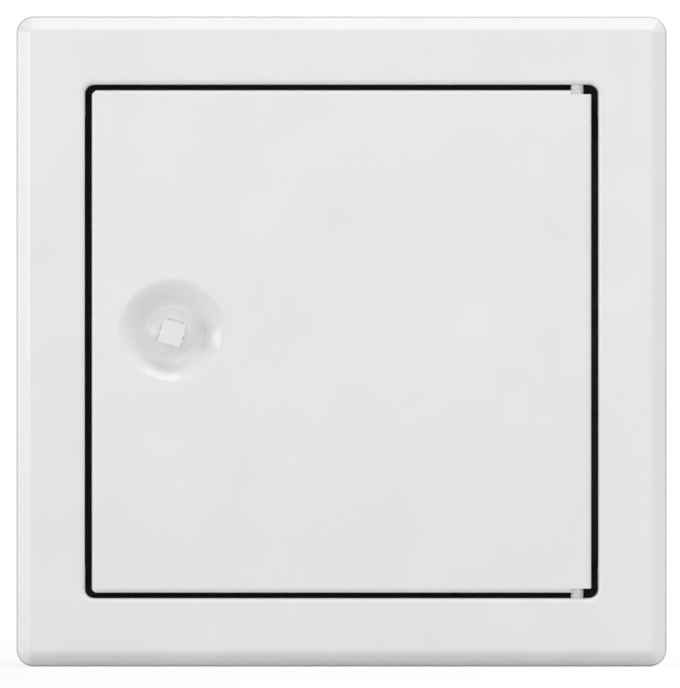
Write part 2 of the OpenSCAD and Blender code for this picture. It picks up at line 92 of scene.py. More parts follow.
bl_info = {
    "name": "Access panel",
    "version": (1, 0, 0),
    "blender": (4, 5, 0),
    "location": "View3D > Sidebar > Access panel",
    "description": "Finishes the pieces of a sheet-steel access panel and sets its studio",
    "category": "Object",
}

MM = 0.001
SIDES = (-1, 1)
RIM_CORNER = 5.0 * MM
SQUARE_HALF = 3.7 * MM
SQUARE_TURN = math.radians(17)


# Settings that a user would change


class CoatSettings(bpy.types.PropertyGroup):
    """White powder coat."""

    colour: FloatVectorProperty(
        name="Coat colour", description="Colour of the powder coat",
        subtype="COLOR", size=3, min=0.0, max=1.0, default=(0.80, 0.80, 0.80),
    )
    shade: FloatProperty(
        name="Coat shade", description="Share of the colour that thin places of the coat keep",
        subtype="FACTOR", min=0.0, max=1.0, default=0.965,
    )
    roughness: FloatProperty(
        name="Coat roughness", description="Roughness of the satin surface",
        subtype="FACTOR", min=0.0, max=1.0, default=0.2,
    )
    # Painted shade: a darker copy of the coat along the rim's outer edge stands in for the dark outline where
    # the rim turns away from the light.
    painted_edge_shade: FloatProperty(
        name="Painted shade on the rim's edge",
        description="Share of the coat's colour kept under the painted shade on the rim's edge",
        subtype="FACTOR", min=0.0, max=1.0, default=0.66,
    )
    edge_width: FloatProperty(
        name="Painted edge shade width", description="Width of the painted shade along the rim's outer edge",
        unit="LENGTH", default=0.5 * MM,
    )
    # Grey laid in patches along the front edges of the lock's square.
    square_edge_colour: FloatVectorProperty(
        name="Square edge colour", description="Grey colour along the front edges of the lock's square",
        subtype="COLOR", size=3, min=0.0, max=1.0, default=(0.42, 0.42, 0.42),
    )
    square_edge_width: FloatProperty(
        name="Square edge width", description="Width of the grey along the front edges of the lock's square",
        unit="LENGTH", default=0.45 * MM,
    )
    rubbed_roughness: FloatProperty(
        name="Rubbed roughness", description="Roughness that keys have added round the lock's square",
        subtype="FACTOR", min=0.0, max=1.0, default=0.09,
    )
    rubbed_width: FloatProperty(
        name="Rubbed width", description="Distance from the lock's axis that keys have rubbed",
        unit="LENGTH", default=8 * MM,
    )
    cloud_size: FloatProperty(
        name="Cloud size", description="Distance between the faint clouds of the coat",
        unit="LENGTH", default=26 * MM,
    )
    gloss_size: FloatProperty(
        name="Gloss patch size", description="Distance between the duller patches of the coat",
        unit="LENGTH", default=7 * MM,
    )
    peel_size: FloatProperty(
        name="Orange peel size", description="Distance between the dimples of the coat",
        unit="LENGTH", default=1.3 * MM,
    )
    peel_depth: FloatProperty(
        name="Orange peel depth", description="Depth of the dimples of the coat",
        unit="LENGTH", default=0.012 * MM,
    )
    wave_size: FloatProperty(
        name="Sheet wave size", description="Distance between the slow waves of the sheet",
        unit="LENGTH", default=60 * MM,
    )
    wave_depth: FloatProperty(
        name="Sheet wave depth", description="Depth of the slow waves of the sheet",
        unit="LENGTH", default=0.10 * MM,
    )


class MetalSettings(bpy.types.PropertyGroup):
    """Bare metal and foam."""

    zinc_colour: FloatVectorProperty(
        name="Zinc colour", description="Colour of the zinc plating",
        subtype="COLOR", size=3, min=0.0, max=1.0, default=(0.62, 0.63, 0.63),
    )
    zinc_tint: FloatVectorProperty(
        name="Zinc tint", description="Colour of the passivated patches",
        subtype="COLOR", size=3, min=0.0, max=1.0, default=(0.57, 0.57, 0.54),
    )
    patch_size: FloatProperty(
        name="Zinc patch size", description="Distance between the patches of the plating",
        unit="LENGTH", default=2.4 * MM,
    )
    steel_colour: FloatVectorProperty(
        name="Steel colour", description="Colour of the plain steel",
        subtype="COLOR", size=3, min=0.0, max=1.0, default=(0.50, 0.50, 0.51),
    )
    foam_colour: FloatVectorProperty(
        name="Foam colour", description="Colour of the foam strips",
        subtype="COLOR", size=3, min=0.0, max=1.0, default=(0.02, 0.02, 0.02),
    )
    cell_size: FloatProperty(
        name="Foam cell size", description="Distance between the cells of the foam",
        unit="LENGTH", default=0.5 * MM,
    )


class DetailSettings(bpy.types.PropertyGroup):
    """Small things on the pieces."""

    sheet_rounding: FloatProperty(
        name="Sheet edge rounding", description="Radius of the coated edges of the sheet",
        unit="LENGTH", default=0.18 * MM,
    )
    hardware_rounding: FloatProperty(
        name="Hardware edge rounding", description="Radius of the edges of nuts, washers and straps",
        unit="LENGTH", default=0.22 * MM,
    )
    square_rounding: FloatProperty(
        name="Square edge rounding", description="Radius of the edges of the lock's square",
        unit="LENGTH", default=0.4 * MM,
    )
    foam_rounding: FloatProperty(
        name="Foam edge rounding", description="Radius of the edges of the foam strips",
        unit="LENGTH", default=0.12 * MM,
    )
    weld_radius: FloatProperty(
        name="Weld mark radius", description="Radius of a spot weld's mark",
        unit="LENGTH", default=2.3 * MM,
    )
    weld_height: FloatProperty(
        name="Weld mark height", description="Height of the rim of a spot weld's mark",
        unit="LENGTH", default=0.14 * MM,
    )
    weld_count: IntProperty(
        name="Weld marks on a side", description="Number of spot welds along each side",
        min=2, default=5,
    )
    tack_radius: FloatProperty(
        name="Seam tack radius", description="Radius of a weld tack on the sleeve's seam",
        unit="LENGTH", default=1.7 * MM,
    )
    tack_height: FloatProperty(
        name="Seam tack height", description="Height of a weld tack on the sleeve's seam",
        unit="LENGTH", default=0.55 * MM,
    )
    bush_pitch: FloatProperty(
        name="Bush thread pitch", description="Pitch of the thread on the lock bush",
        unit="LENGTH", default=1.0 * MM,
    )
    stud_pitch: FloatProperty(
        name="Stud thread pitch", description="Pitch of the thread on the spindle's end",
        unit="LENGTH", default=0.7 * MM,
    )


class StudioSettings(bpy.types.PropertyGroup):
    """Camera, lamps and floor."""

    camera_distance: FloatProperty(
        name="Camera distance", description="Distance of the camera from the panel's face",
        unit="LENGTH", default=6.0,
    )
    view_width: FloatProperty(
        name="Width in view", description="Width of the picture at the panel's face",
        unit="LENGTH", default=198.6 * MM,
    )
    camera_right: FloatProperty(
        name="Camera right", description="How far the camera stands to the right of the panel's middle",
        unit="LENGTH", default=-0.44 * MM,
    )
    camera_up: FloatProperty(
        name="Camera up", description="How far the camera stands above the panel's middle",
        unit="LENGTH", default=-0.75 * MM,
    )
    sky_light: FloatProperty(
        name="Sky light", description="Even light of the room", min=0.0, default=0.475,
    )
    top_power: FloatProperty(
        name="Top lamp", description="Power of the lamp above the panel", unit="POWER", default=15.0,
    )
    left_power: FloatProperty(
        name="Left lamp", description="Power of the lamp in front on the left", unit="POWER", default=5.3,
    )
    side_power: FloatProperty(
        name="Side lamp", description="Power of the lamp beside the panel on the left",
        unit="POWER", default=3.1,
    )
    front_power: FloatProperty(
        name="Front lamp", description="Power of the lamp in front of the panel", unit="POWER", default=4.1,
    )
    right_power: FloatProperty(
        name="Right lamp", description="Power of the lamp in front on the right", unit="POWER", default=6.9,
    )
    back_power: FloatProperty(
        name="Back lamp", description="Power of the lamp behind the panel", unit="POWER", default=18.0,
    )
    floor_look: FloatVectorProperty(
        name="Floor look", description="Colour of the floor as it is seen",
        subtype="COLOR", size=3, min=0.0, max=1.0, default=(0.95, 0.95, 0.95),
    )
    floor_colour: FloatVectorProperty(
        name="Floor colour", description="Colour of the light that the floor gives back",
        subtype="COLOR", size=3, min=0.0, max=1.0, default=(0.70, 0.70, 0.70),
    )
    floor_shadow: FloatProperty(
        name="Floor shadow", description="Share of the floor's picture that takes shadows near the panel",
        subtype="FACTOR", min=0.0, max=1.0, default=0.3,
    )
    floor_fade: FloatProperty(
        name="Floor fade", description="Distance from the panel's middle at which the floor has turned white",
        unit="LENGTH", default=0.8,
    )


class PanelSettings(bpy.types.PropertyGroup):
    """All settings of the access panel."""

    coat: PointerProperty(type=CoatSettings)
    metal: PointerProperty(type=MetalSettings)
    detail: PointerProperty(type=DetailSettings)
    studio: PointerProperty(type=StudioSettings)


# Materials


class Painter:
    """Adds nodes to one material and links them."""

    def __init__(self, name):
        self.material = bpy.data.materials.new(name)
        self.material.use_nodes = True
        self.nodes = self.material.node_tree.nodes
        self.links = self.material.node_tree.links
        self.shader = self.nodes["Principled BSDF"]
        self.place = self.nodes.new("ShaderNodeTexCoord").outputs["Object"]

    def set_shader(self, **values):
        """Sets plain values on the shader's own sockets."""
        for socket, value in values.items():
            self.shader.inputs[socket.replace("_", " ").title()].default_value = value

    def noise(self, spacing, detail=2.0, stretch=(1.0, 1.0, 1.0)):
        """Cloudy pattern whose bumps lie about one spacing apart."""
        mapping = self.nodes.new("ShaderNodeMapping")
        mapping.inputs["Scale"].default_value = stretch
        self.links.new(self.place, mapping.inputs["Vector"])
        texture = self.nodes.new("ShaderNodeTexNoise")
        texture.inputs["Scale"].default_value = 1.0 / spacing
        texture.inputs["Detail"].default_value = detail
        self.links.new(mapping.outputs["Vector"], texture.inputs["Vector"])
        return texture.outputs["Fac"]

    def cells(self, spacing, output="Distance"):
        """Pattern of cells whose middles lie about one spacing apart."""
        texture = self.nodes.new("ShaderNodeTexVoronoi")
        texture.inputs["Scale"].default_value = 1.0 / spacing
        self.links.new(self.place, texture.inputs["Vector"])
        return texture.outputs[output]

    def ramp(self, source, low, high, start=0.3, end=0.7):
        """Turns a pattern into colours between two ends."""
        ramp = self.nodes.new("ShaderNodeValToRGB")
        ends = ramp.color_ramp.elements
        ends[0].position = start
        ends[1].position = end
        ends[0].color = (*low, 1.0)
        ends[1].color = (*high, 1.0)
        self.links.new(source, ramp.inputs["Fac"])
        return ramp.outputs["Color"]

    def level(self, source, low, high, start=0.3, end=0.7):
        """Turns a pattern into numbers between two ends."""
        span = self.nodes.new("ShaderNodeMapRange")
        span.inputs["From Min"].default_value = start
        span.inputs["From Max"].default_value = end
        span.inputs["To Min"].default_value = low
        span.inputs["To Max"].default_value = high
        self.links.new(source, span.inputs["Value"])
        return span.outputs["Result"]

    def bump(self, source, depth, before=None):
        """Turns a pattern into bumps of that depth, on top of other bumps."""
        bump = self.nodes.new("ShaderNodeBump")
        bump.inputs["Strength"].default_value = 1.0
        bump.inputs["Distance"].default_value = depth
        self.links.new(source, bump.inputs["Height"])
        if before is not None:
            self.links.new(before, bump.inputs["Normal"])
        return bump.outputs["Normal"]

    def vector_math(self, operation, source, value=None, output="Vector"):
        """One step of vector arithmetic on a source."""
        step = self.nodes.new("ShaderNodeVectorMath")
        step.operation = operation
        self.links.new(source, step.inputs[0])
        if value is not None:
            step.inputs[1].default_value = value
        return step.outputs[output]

    def math(self, operation, first, second):
        """One step of arithmetic on two sources."""
        step = self.nodes.new("ShaderNodeMath")
        step.operation = operation
        self.links.new(first, step.inputs[0])
        self.links.new(second, step.inputs[1])
        return step.outputs["Value"]

    def square_distance(self, axis, turn):
        """Distance from a turned square's axis, half its width on its flanks, and depth along that axis."""
        mapping = self.nodes.new("ShaderNodeMapping")
        mapping.vector_type = "TEXTURE"
        mapping.inputs["Location"].default_value = (axis.x, 0.0, axis.z)
        mapping.inputs["Rotation"].default_value = (0.0, turn, 0.0)
        self.links.new(self.place, mapping.inputs["Vector"])
        depth = self.nodes.new("ShaderNodeSeparateXYZ")
        self.links.new(mapping.outputs["Vector"], depth.inputs["Vector"])
        folded = self.nodes.new("ShaderNodeSeparateXYZ")
        self.links.new(self.vector_math("ABSOLUTE", mapping.outputs["Vector"]), folded.inputs["Vector"])
        return self.math("MAXIMUM", folded.outputs["X"], folded.outputs["Z"]), depth.outputs["Y"]

    def axis_distance(self, axis):
        """Distance from an axis that runs along the panel's depth."""
        offset = self.vector_math("SUBTRACT", self.place, axis)
        across = self.vector_math("MULTIPLY", offset, (1.0, 0.0, 1.0))
        return self.vector_math("LENGTH", across, output="Value")

    def rim_distance(self, half, corner):
        """Distance from the axes of the rim's round corners, which is the corner radius at its outer edge."""
        axis = half - corner
        folded = self.vector_math("ABSOLUTE", self.place)
        inward = self.vector_math("SUBTRACT", folded, (axis, 0.0, axis))
        outside = self.vector_math("MAXIMUM", inward, (0.0, 0.0, 0.0))
        across = self.vector_math("MULTIPLY", outside, (1.0, 0.0, 1.0))
        return self.vector_math("LENGTH", across, output="Value")

    def blend(self, share, first, second):
        """Blends one colour source into another by a pattern."""
        mix = self.nodes.new("ShaderNodeMix")
        mix.data_type = "RGBA"
        sockets = {socket.identifier: socket for socket in (*mix.inputs, *mix.outputs)}
        self.links.new(share, sockets["Factor_Float"])
        self.links.new(first, sockets["A_Color"])
        self.links.new(second, sockets["B_Color"])
        return sockets["Result_Color"]

    def colour(self, source):
        """Gives the shader its colour."""
        self.links.new(source, self.shader.inputs["Base Color"])

    def roughness(self, source):
        """Gives the shader its roughness."""
        self.links.new(source, self.shader.inputs["Roughness"])

    def normal(self, source):
        """Gives the shader its bumps."""
        self.links.new(source, self.shader.inputs["Normal"])


def shaded(colour, share):
    """A darker shade of a colour."""
    return tuple(channel * share for channel in colour)


def square_edge_grey(paint, coat, axis):
    """Share of grey laid in patches along the front edges of the lock's square."""
    across, depth = paint.square_distance(axis, SQUARE_TURN)
    flank_room = 0.05 * MM
    edge = paint.level(across, 0.0, 1.0, SQUARE_HALF - coat.square_edge_width, SQUARE_HALF - 0.4 * coat.square_edge_width)
    inside = paint.level(across, 1.0, 0.0, SQUARE_HALF + flank_room, SQUARE_HALF + 2 * flank_room)
    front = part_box("lock_spindle")[0].y
    edge_grey_depth = 0.8 * MM
    depth_fade = 0.6 * MM
    raised = paint.level(depth, 1.0, 0.0, front + edge_grey_depth, front + edge_grey_depth + depth_fade)
    patch_spacing = 1.7 * MM
    patches = paint.level(paint.noise(patch_spacing, 3.0), 0.22, 1.0, 0.45, 0.66)
    square = paint.math("MULTIPLY", paint.math("MULTIPLY", edge, inside), raised)
    return paint.math("MULTIPLY", square, patches)


def white_coat(settings):
    """Satin white powder coat: faint clouds, orange peel, the sheet's slow waves, grey in patches on the lock
    square's front edges, and a painted shade along the rim's outer edge.
    """
    coat = settings.coat
    paint = Painter("white_coat_finish")
    clouds = paint.noise(coat.cloud_size, 3.0)
    whole = paint.ramp(clouds, shaded(coat.colour, coat.shade), coat.colour)
    # Painted shade: the rim's outermost edge takes a darker copy of the coat, standing in for the dark
    # outline where the rim turns away from the light.
    painted_edge_colour = shaded(coat.colour, coat.painted_edge_shade)
    thin = paint.ramp(clouds, shaded(painted_edge_colour, coat.shade), painted_edge_colour)
    rim = paint.rim_distance(CAD_BOX[1].x, RIM_CORNER)
    edge = RIM_CORNER - coat.edge_width
    edge_fade = 0.15 * MM
    coat_with_painted_edge = paint.blend(paint.level(rim, 0.0, 1.0, edge, edge + edge_fade), whole, thin)
    # Grey laid in patches along the front edges of the lock's square.
    edge_grey_spacing = 1.1 * MM
    worn = paint.ramp(paint.noise(edge_grey_spacing), shaded(coat.square_edge_colour, 0.8), coat.square_edge_colour)
    axis = Vector(JOINT["lock_turn"]["pos_m"])
    paint.colour(paint.blend(square_edge_grey(paint, coat, axis), coat_with_painted_edge, worn))
    satin = paint.level(paint.noise(coat.gloss_size), coat.roughness - 0.03, coat.roughness + 0.04)
    reach = coat.rubbed_width
    rubbed = paint.level(paint.axis_distance(axis), coat.rubbed_roughness, 0.0, 0.7 * reach, reach)
    paint.roughness(paint.math("ADD", satin, rubbed))
    waves = paint.bump(paint.noise(coat.wave_size, 0.0), coat.wave_depth)
    paint.normal(paint.bump(paint.noise(coat.peel_size, 1.0), coat.peel_depth, waves))
    return paint.material


def zinc_plate(settings):
    """Zinc-plated steel: cloudy passivation, small crystal patches and rolling lines."""
    metal = settings.metal
    paint = Painter("zinc_plate_finish")
    paint.set_shader(metallic=1.0)
    paint.colour(paint.ramp(paint.noise(metal.patch_size * 2, 4.0), metal.zinc_tint, metal.zinc_colour))
    paint.roughness(paint.level(paint.cells(metal.patch_size, "Color"), 0.30, 0.44))
    line_spacing, line_depth = 0.5 * MM, 0.006 * MM
    grain_spacing, grain_depth = 0.35 * MM, 0.004 * MM
    lines = paint.bump(paint.noise(line_spacing, 2.0, (1.0, 1.0, 0.04)), line_depth)
    paint.normal(paint.bump(paint.noise(grain_spacing), grain_depth, lines))
    return paint.material


def rivet_steel(settings):
    """Plain steel, lightly oiled: darker clouds and fine scratches."""
    metal = settings.metal
    paint = Painter("rivet_steel_finish")
    paint.set_shader(metallic=1.0)
    cloud_spacing, oil_spacing = 1.6 * MM, 0.8 * MM
    scratch_spacing, scratch_depth = 0.3 * MM, 0.008 * MM
    dark_steel = shaded(metal.steel_colour, 0.72)
    paint.colour(paint.ramp(paint.noise(cloud_spacing, 4.0), dark_steel, metal.steel_colour))
    paint.roughness(paint.level(paint.noise(oil_spacing), 0.26, 0.42))
    paint.normal(paint.bump(paint.noise(scratch_spacing, 2.0, (1.0, 0.1, 1.0)), scratch_depth))
    return paint.material


def black_foam(settings):
    """Closed-cell foam: cut cells and a slightly dusty skin."""
    metal = settings.metal
    paint = Painter("black_foam_finish")
    cloud_spacing, dust_spacing = 6 * MM, 1.5 * MM
    swell_spacing, swell_depth = 9 * MM, 0.10 * MM
    cell_depth = 0.12 * MM
    dark_foam = shaded(metal.foam_colour, 0.6)
    paint.colour(paint.ramp(paint.noise(cloud_spacing, 3.0), dark_foam, metal.foam_colour))
    paint.roughness(paint.level(paint.noise(dust_spacing), 0.78, 0.95))
    soft = paint.bump(paint.noise(swell_spacing), swell_depth)
    paint.normal(paint.bump(paint.cells(metal.cell_size), cell_depth, soft))
    return paint.material


FINISHES = {
    "white_coat": white_coat,
    "zinc_plate": zinc_plate,
    "rivet_steel": rivet_steel,
    "black_foam": black_foam,
}


def finish_material(slot):
    """The material of a slot, made at its first use."""
    found = bpy.data.materials.get(f"{slot}_finish")
    if found is None:
        found = FINISHES[slot](bpy.context.scene.access_panel)
    return found


# Meshes


def new_object(name, mesh):
    """Links a mesh to the scene as an object at the origin."""
    made = bpy.data.objects.new(name, mesh)
    bpy.context.scene.collection.objects.link(made)
    return made


def baked(piece):
    """Applies a piece's modifiers and leaves a plain mesh."""
    bpy.context.view_layer.update()
    graph = bpy.context.evaluated_depsgraph_get()
    mesh = bpy.data.meshes.new_from_object(piece.evaluated_get(graph), depsgraph=graph)
    piece.modifiers.clear()
    piece.data = mesh
    if not mesh.polygons:
        raise RuntimeError(f"{piece.name} has no faces")
    return piece


def coated(piece, slot, body):
    """Gives a finished piece its material, its slot and the body that carries it."""
    piece.data.materials.clear()
    piece.data.materials.append(finish_material(slot))
    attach(piece, body)
    return piece


def body_of_node(node):
    """The body that carries a node."""
    return frame["nodes"][node]["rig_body"]


def merged_copy(node):
    """A copy of a node's mesh whose loose triangles are joined and whose flat faces are whole."""
    mesh = frame["nodes"][node].data.copy()
    mesh.name = f"{node}_finish"
    same_place = 0.0005 * MM
    same_plane = math.radians(0.2)
    shape = bmesh.new()
    shape.from_mesh(mesh)
    bmesh.ops.remove_doubles(shape, verts=shape.verts, dist=same_place)
    bmesh.ops.dissolve_limit(shape, angle_limit=same_plane, verts=shape.verts, edges=shape.edges)
    shape.to_mesh(mesh)
    shape.free()
    for attribute in ("custom_normal", "sharp_edge", "sharp_face"):
        if attribute in mesh.attributes:
            mesh.attributes.remove(mesh.attributes[attribute])
    return mesh


def finished(node, rounding):
    """A finished piece in a node's place: its edges are rounded and its faces shaded true."""
    piece = new_object(f"{node}_finish", merged_copy(node))
    piece.data.shade_smooth()
    bevel = piece.modifiers.new("Rounded edges", "BEVEL")
    bevel.width = rounding
    bevel.segments = 2
    bevel.limit_method = "ANGLE"
    bevel.angle_limit = math.radians(32)
    bevel.harden_normals = True
    even = piece.modifiers.new("True faces", "WEIGHTED_NORMAL")
    even.weight = 100
    even.keep_sharp = True
    baked(piece)
    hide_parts(node)
    return coated(piece, NODE_SLOT[node], body_of_node(node))


def turned_mesh(name, profile, steps=24):
    """A closed turned shape round Z from (radius, height) points, first and last on the axis."""
    shape = bmesh.new()
    rings = []
    for radius, height in profile:
        if radius < 1e-9:
            rings.append([shape.verts.new((0.0, 0.0, height))])
            continue
        ring = []
        for step in range(steps):
            turn = math.tau * step / steps
            ring.append(shape.verts.new((radius * math.cos(turn), radius * math.sin(turn), height)))
        rings.append(ring)
    for lower, upper in zip(rings, rings[1:]):
        for step in range(steps):
            following = (step + 1) % steps
            corners = [lower[step % len(lower)], lower[following % len(lower)]]
            corners += [upper[following % len(upper)], upper[step % len(upper)]]
            shape.faces.new(list(dict.fromkeys(corners)))
    bmesh.ops.recalc_face_normals(shape, faces=shape.faces)
    mesh = bpy.data.meshes.new(name)
    shape.to_mesh(mesh)
    shape.free()
    mesh.shade_smooth()
    return mesh


# Geometry Nodes


def new_tree(name, inputs):
    """An empty tree with a geometry in and out and the named inputs."""
    tree = bpy.data.node_groups.new(name, "GeometryNodeTree")
    tree.interface.new_socket("Geometry", in_out="OUTPUT", socket_type="NodeSocketGeometry")
    tree.interface.new_socket("Geometry", in_out="INPUT", socket_type="NodeSocketGeometry")
    for label, kind in inputs:
        tree.interface.new_socket(label, in_out="INPUT", socket_type=kind)
    return tree


def close_tree(tree, geometry):
    """Ends a tree in real faces that carry its material input."""
    into = tree.nodes["Group Input"]
    real = tree.nodes.new("GeometryNodeRealizeInstances")
    tree.links.new(geometry, real.inputs["Geometry"])
    paint = tree.nodes.new("GeometryNodeSetMaterial")
    tree.links.new(real.outputs["Geometry"], paint.inputs["Geometry"])
    tree.links.new(into.outputs["Material"], paint.inputs["Material"])
    out = tree.nodes.new("NodeGroupOutput")
    tree.links.new(paint.outputs["Geometry"], out.inputs["Geometry"])


def places_tree():
    """Sets one shape on every point of a mesh, turned to the point's facing."""
    found = bpy.data.node_groups.get("Set on places")
    if found is not None:
        return found
    tree = new_tree("Set on places", (
        ("Shape", "NodeSocketObject"),
        ("Radius", "NodeSocketFloat"),
        ("Height", "NodeSocketFloat"),
        ("Material", "NodeSocketMaterial"),
    ))
    into = tree.nodes.new("NodeGroupInput")
    shape = tree.nodes.new("GeometryNodeObjectInfo")
    tree.links.new(into.outputs["Shape"], shape.inputs["Object"])
    facing = tree.nodes.new("GeometryNodeInputNamedAttribute")
    facing.data_type = "FLOAT_VECTOR"
    facing.inputs["Name"].default_value = "facing"
    turn = tree.nodes.new("FunctionNodeAlignRotationToVector")
    turn.axis = "Z"
    tree.links.new(facing.outputs["Attribute"], turn.inputs["Vector"])
    size = tree.nodes.new("ShaderNodeCombineXYZ")
    tree.links.new(into.outputs["Radius"], size.inputs["X"])
    tree.links.new(into.outputs["Radius"], size.inputs["Y"])
    tree.links.new(into.outputs["Height"], size.inputs["Z"])
    copies = tree.nodes.new("GeometryNodeInstanceOnPoints")
    tree.links.new(into.outputs["Geometry"], copies.inputs["Points"])
    tree.links.new(shape.outputs["Geometry"], copies.inputs["Instance"])
    tree.links.new(turn.outputs["Rotation"], copies.inputs["Rotation"])
    tree.links.new(size.outputs["Vector"], copies.inputs["Scale"])
    close_tree(tree, copies.outputs["Instances"])
    return tree


def thread_tree():
    """A thread's ridge that winds round an axis along +Y."""
    found = bpy.data.node_groups.get("Thread ridge")
    if found is not None:
        return found
    tree = new_tree("Thread ridge", (
        ("Radius", "NodeSocketFloat"),
        ("Turns", "NodeSocketFloat"),
        ("Length", "NodeSocketFloat"),
        ("Ridge", "NodeSocketFloat"),
        ("Start", "NodeSocketVector"),
        ("Material", "NodeSocketMaterial"),
    ))
    into = tree.nodes.new("NodeGroupInput")
    path = tree.nodes.new("GeometryNodeCurveSpiral")
    path.inputs["Resolution"].default_value = 40
    tree.links.new(into.outputs["Turns"], path.inputs["Rotations"])
    tree.links.new(into.outputs["Radius"], path.inputs["Start Radius"])
    tree.links.new(into.outputs["Radius"], path.inputs["End Radius"])
    tree.links.new(into.outputs["Length"], path.inputs["Height"])
    ridge = tree.nodes.new("GeometryNodeCurvePrimitiveCircle")
    ridge.inputs["Resolution"].default_value = 6
    tree.links.new(into.outputs["Ridge"], ridge.inputs["Radius"])
    sweep = tree.nodes.new("GeometryNodeCurveToMesh")
    sweep.inputs["Fill Caps"].default_value = True
    tree.links.new(path.outputs["Curve"], sweep.inputs["Curve"])
    tree.links.new(ridge.outputs["Curve"], sweep.inputs["Profile Curve"])
    lay = tree.nodes.new("GeometryNodeTransform")
    lay.inputs["Rotation"].default_value = (-math.pi / 2, 0.0, 0.0)
    tree.links.new(sweep.outputs["Mesh"], lay.inputs["Geometry"])
    tree.links.new(into.outputs["Start"], lay.inputs["Translation"])
    close_tree(tree, lay.outputs["Geometry"])
    return tree


def run_tree(piece, tree, **values):
    """Runs a tree on a piece with its inputs set, and leaves a plain mesh."""
    nodes = piece.modifiers.new(tree.name, "NODES")
    nodes.node_group = tree
    for socket in tree.interface.items_tree:
        label = socket.name.lower()
        if socket.in_out == "INPUT" and label in values:
            nodes[socket.identifier] = values[label]
    return baked(piece)


def points_object(name, places):
    """A mesh of bare points, each with the direction that it faces."""
    mesh = bpy.data.meshes.new(name)
    mesh.from_pydata([place for place, _ in places], [], [])
    facing = mesh.attributes.new("facing", "FLOAT_VECTOR", "POINT")
    for entry, (_, direction) in zip(facing.data, places):
        entry.vector = direction
    return new_object(name, mesh)


def set_on_places(name, places, shape_mesh, radius, height, slot, body):
    """Sets a turned shape on many places as one piece."""
    pattern = new_object(f"{name}_pattern", shape_mesh)
    piece = points_object(name, places)
    run_tree(
        piece, places_tree(), shape=pattern, radius=radius, height=height, material=finish_material(slot),
    )
    piece.data.shade_smooth()
    bpy.data.objects.remove(pattern)
    return coated(piece, slot, body)


def thread(name, start, radius, length, pitch, slot, body):
    """A thread's ridge from a start point along +Y as one piece."""
    piece = new_object(name, bpy.data.meshes.new(name))
    ridge = 0.3 * pitch
    run_tree(
        piece, thread_tree(), radius=radius, turns=length / pitch, length=length, ridge=ridge,
        start=start, material=finish_material(slot),
    )
    return coated(piece, slot, body)


# Shapes that repeat


def weld_mark():
    """A spot weld's mark, one wide and one high: a low plateau with a dent in its middle."""
    return turned_mesh("weld_mark", (
        (0.0, -0.3), (1.0, -0.3), (1.0, 0.0), (0.92, 0.42), (0.80, 0.85), (0.68, 1.0),
        (0.54, 0.80), (0.36, 0.52), (0.18, 0.42), (0.0, 0.40),
    ))


def weld_tack():
    """A weld tack, one wide and one high: a rounded bead."""
    steps = 6
    dome = [(math.cos(math.pi / 2 * i / steps), math.sin(math.pi / 2 * i / steps)) for i in range(steps + 1)]
    return turned_mesh("weld_tack", [(0.0, -0.3), (1.0, -0.3), *dome])


def blind_rivet(head_radius, head_height, shank_radius, grip, tail_height):
    """A blind rivet that faces +Z from the sheet's face: dome, spent mandrel, shank and flat tail."""
    mandrel = 0.36 * head_radius
    steps = 6
    dome = []
    for i in range(steps + 1):
        share = i / steps
        radius = head_radius + (mandrel - head_radius) * share
        height = head_height * math.sqrt(1.0 - (radius / head_radius) ** 2 * 0.82)
        dome.append((radius, height))
    tail = -grip - tail_height
    return turned_mesh("blind_rivet", [
        (0.0, tail), (head_radius * 0.86, tail), (head_radius * 0.93, tail + tail_height * 0.3),
        (head_radius * 0.93, -grip), (shank_radius, -grip), (shank_radius, 0.0), (head_radius, 0.0),
        *dome,
        (mandrel * 0.92, head_height * 0.62), (mandrel * 0.80, head_height * 0.62),
        (mandrel * 0.72, head_height * 0.86), (0.0, head_height * 0.80),
    ])


# Operators, one for each piece or group of like pieces


class PieceOperator(bpy.types.Operator):
    """Finishes pieces of the panel."""

    bl_options = {"REGISTER", "UNDO"}

    nodes = ()
    rounding = "sheet_rounding"

    def finish_nodes(self, context):
        """Finishes each of the operator's nodes."""
        detail = context.scene.access_panel.detail
        return [finished(node, getattr(detail, self.rounding)) for node in self.nodes]

    def execute(self, context):
        self.finish_nodes(context)
        return {"FINISHED"}


class PANEL_OT_front_frame(PieceOperator):
    """Finishes the pressed frame with its bevelled rim and drawn lip"""

    bl_idname = "access_panel.front_frame"
    bl_label = "Front frame"
    nodes = ("front_frame",)


class PANEL_OT_wall_sleeve(PieceOperator):
    """Finishes the sleeve that goes into the wall and tacks its seam"""

    bl_idname = "access_panel.wall_sleeve"
    bl_label = "Wall sleeve"
    nodes = ("wall_sleeve",)
    tack_shares = (0.24, 0.5, 0.8)

    def execute(self, context):
        self.finish_nodes(context)
        detail = context.scene.access_panel.detail
        low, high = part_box("wall_sleeve")
        depth = high.y - low.y
        down = (0.0, 0.0, -1.0)
        places = [((0.0, low.y + depth * share, low.z), down) for share in self.tack_shares]
        set_on_places(
            "seam_tacks", places, weld_tack(), detail.tack_radius, detail.tack_height, "white_coat", "frame",
        )
        return {"FINISHED"}


class PANEL_OT_stop_rails(PieceOperator):
    """Finishes the four angles that the door closes against"""

    bl_idname = "access_panel.stop_rails"
    bl_label = "Stop rails"
    nodes = ("stop_rail_top", "stop_rail_bottom", "stop_rail_lock_side", "stop_rail_hinge_side")


class PANEL_OT_door_seals(PieceOperator):
    """Finishes the four foam strips"""

    bl_idname = "access_panel.door_seals"
    bl_label = "Door seals"
    nodes = ("door_seal_top", "door_seal_bottom", "door_seal_lock_side", "door_seal_hinge_side")
    rounding = "foam_rounding"


